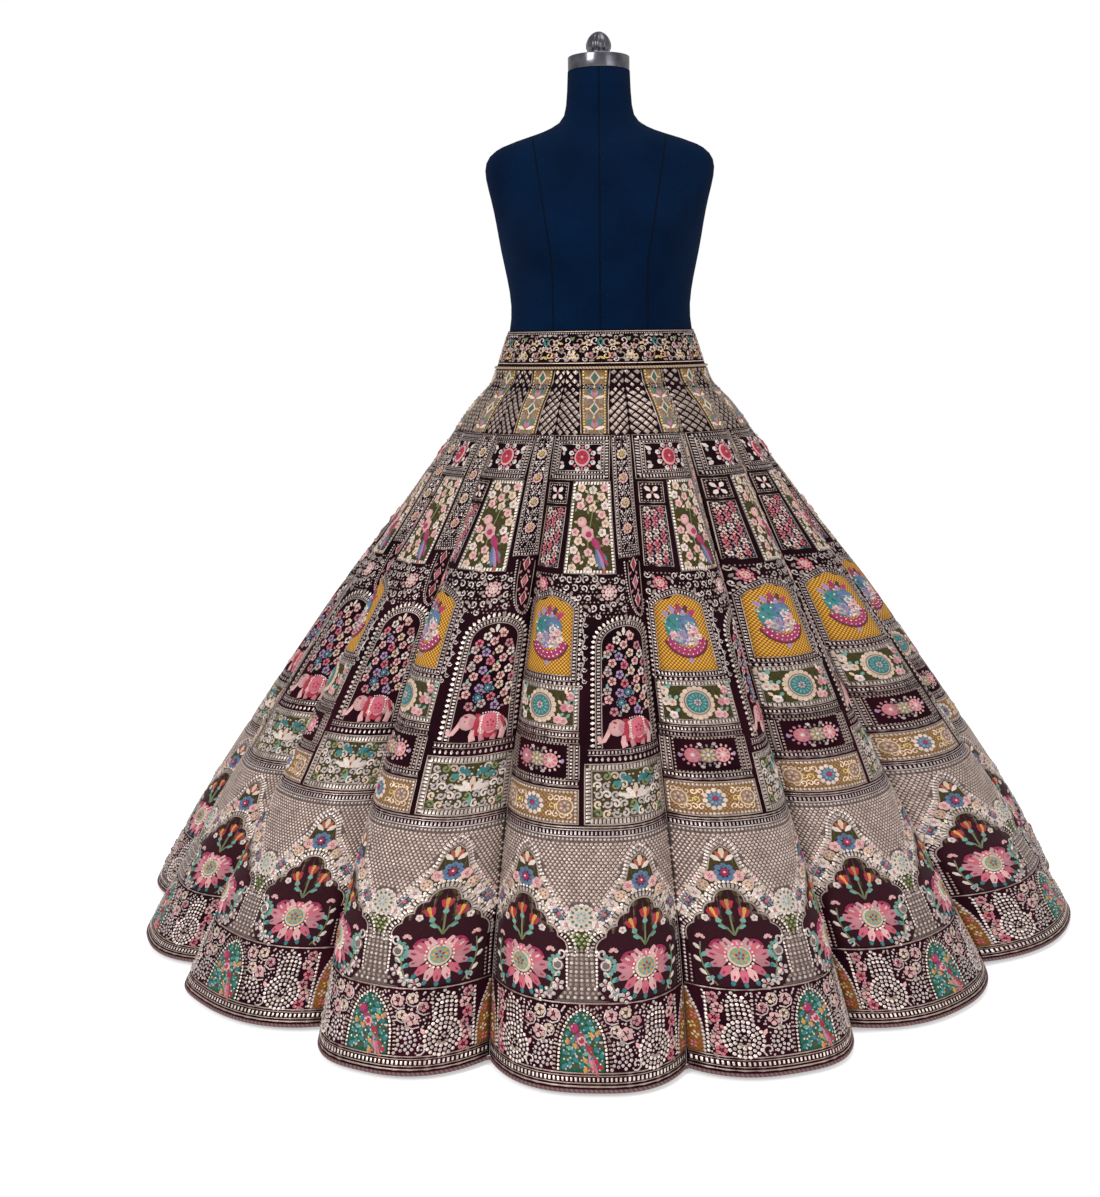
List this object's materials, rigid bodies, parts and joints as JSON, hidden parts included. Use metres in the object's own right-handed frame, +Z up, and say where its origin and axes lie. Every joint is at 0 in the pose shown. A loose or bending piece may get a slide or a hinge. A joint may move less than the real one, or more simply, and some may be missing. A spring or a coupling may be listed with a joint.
{
  "type": "lehenga skirt on a limbless dress form",
  "caption": "Floor-length flared lehenga skirt of fluted velvet kalis with a shaped waistband, standing on a limbless dress form with a neck cap, pole and round base.",
  "frame": {"origin": "centre of the base plate's underside, on the floor under the pole", "axes": "+Z up along the pole, the front of the skirt faces -Y, +X across it"},
  "size_m": [1.574, 1.5483, 1.4146],
  "materials": {
    "kali_velvet": "wine velvet pile, covered with zari, bead and thread embroidery",
    "zari_beads": "silver-pink zari cord, sequins and beads stitched on velvet",
    "waistband_embroidery": "velvet band covered with cream and silver scroll embroidery",
    "cream_cord": "corded piping in cream satin",
    "hem_cord": "rolled satin piping in dusty wine",
    "form_jersey": "dark navy jersey, stretched smooth",
    "form_chrome": "polished",
    "base_enamel": "black enamel, satin"
  },
  "bodies": {
    "root": {"kali_01": "kali_velvet", "kali_02": "kali_velvet", "kali_03": "kali_velvet", "kali_04": "kali_velvet", "kali_05": "kali_velvet", "kali_06": "kali_velvet", "kali_07": "kali_velvet", "kali_08": "kali_velvet", "kali_09": "kali_velvet", "kali_10": "kali_velvet", "kali_11": "kali_velvet", "kali_12": "kali_velvet", "kali_13": "kali_velvet", "kali_14": "kali_velvet", "kali_15": "kali_velvet", "kali_16": "kali_velvet", "waistband": "waistband_embroidery", "waist_piping": "cream_cord", "hem_piping": "hem_cord", "form_torso": "form_jersey", "form_neck_cap": "form_chrome", "form_knob": "form_chrome", "form_pole": "form_chrome", "form_base": "base_enamel"}
  },
  "joints": []
}
